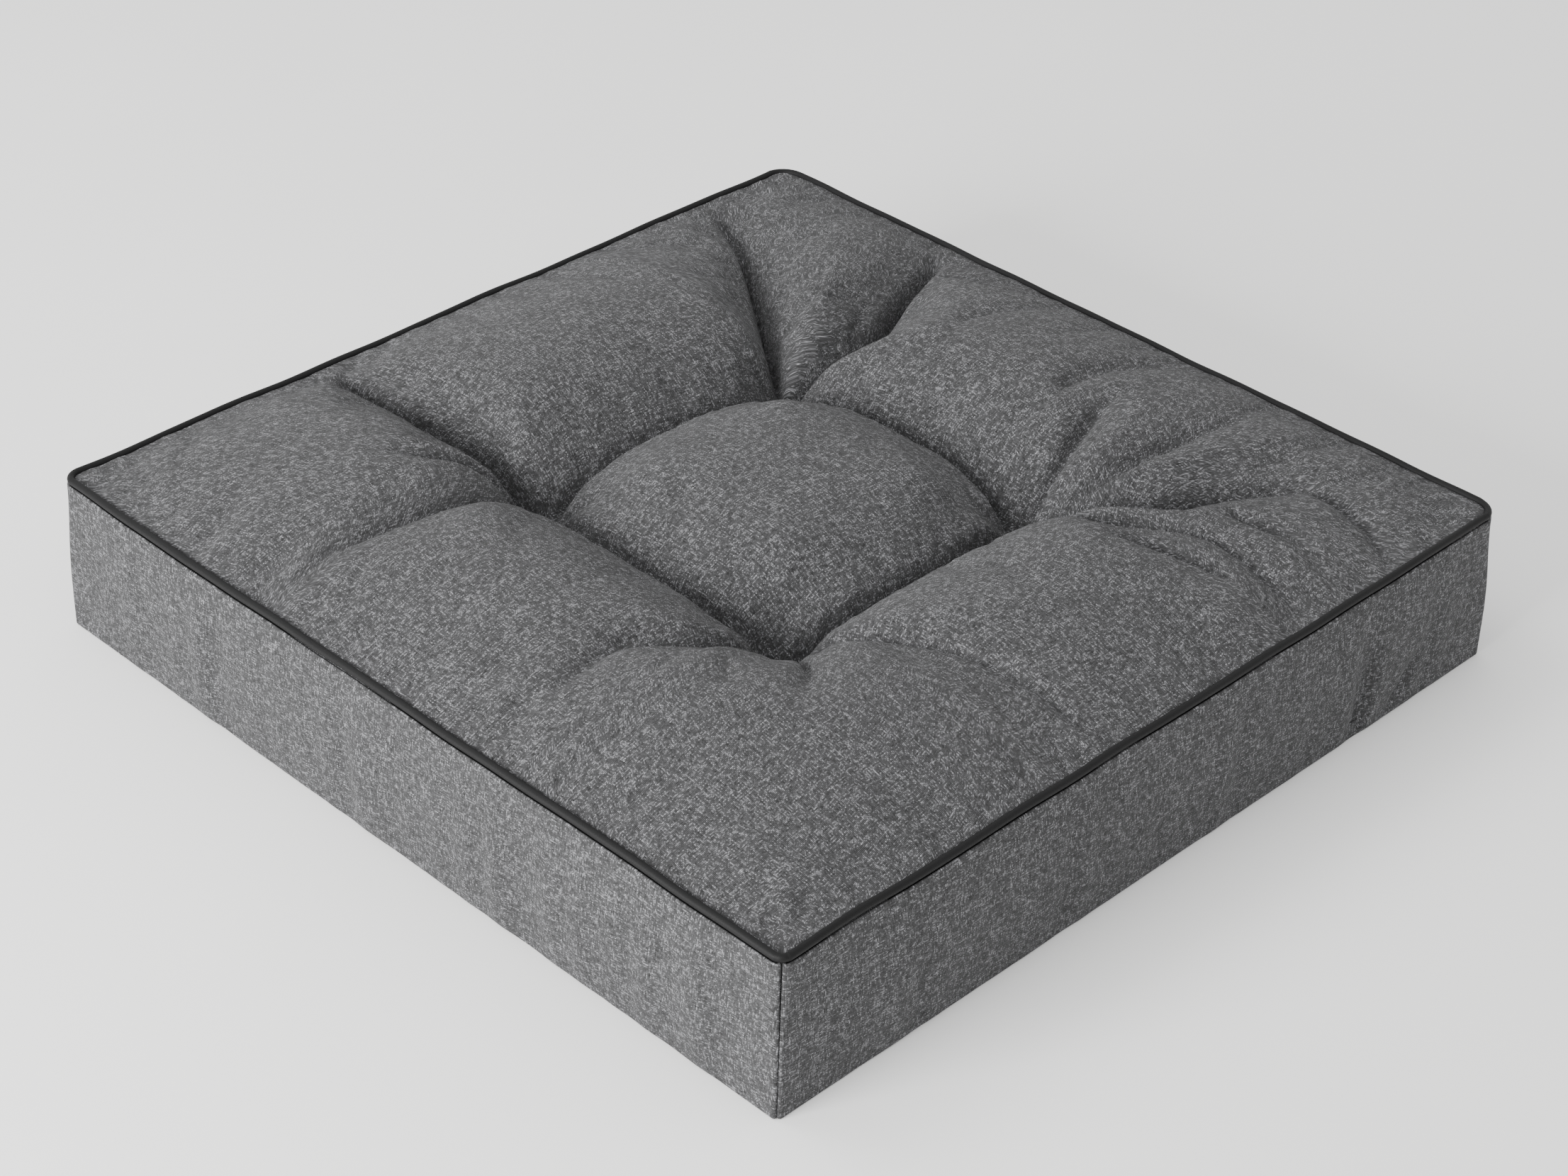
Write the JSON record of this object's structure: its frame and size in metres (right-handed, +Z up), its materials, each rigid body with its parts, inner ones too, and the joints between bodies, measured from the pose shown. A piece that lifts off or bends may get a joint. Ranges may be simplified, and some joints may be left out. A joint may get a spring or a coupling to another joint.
{
  "type": "floor cushion",
  "caption": "Square boxed floor cushion with piped top edge, deep blind tufts and a puffed top, in dark grey melange cloth.",
  "frame": {"origin": "middle of the underside, on the floor", "axes": "+Z up through the cushion's thickness, X and Y along its square sides, -Y the front band"},
  "size_m": [0.6, 0.6, 0.1338],
  "materials": {
    "cover_cloth": "melange plain weave, matt",
    "piping_cloth": "smooth black twill, low sheen",
    "piping_filler": "braided cotton cord",
    "foam": "open-cell polyurethane foam",
    "fibre": "loose polyester fibre",
    "twine": "waxed twisted polyester twine",
    "thread": "twisted polyester sewing thread"
  },
  "bodies": {
    "root": {"top_panel": "cover_cloth", "bottom_panel": "cover_cloth", "band_front": "cover_cloth", "band_right": "cover_cloth", "band_back": "cover_cloth", "band_left": "cover_cloth", "piping_cover": "piping_cloth", "piping_cord": "piping_filler", "foam_base": "foam", "fibre_filling": "fibre", "tuft_twine_front_left": "twine", "tuft_twine_front_right": "twine", "tuft_twine_back_right": "twine", "tuft_twine_back_left": "twine", "top_seam_thread": "thread", "bottom_seam_thread": "thread", "corner_thread_front_left": "thread", "corner_thread_front_right": "thread", "corner_thread_back_right": "thread", "corner_thread_back_left": "thread", "closing_thread": "thread"}
  },
  "joints": []
}
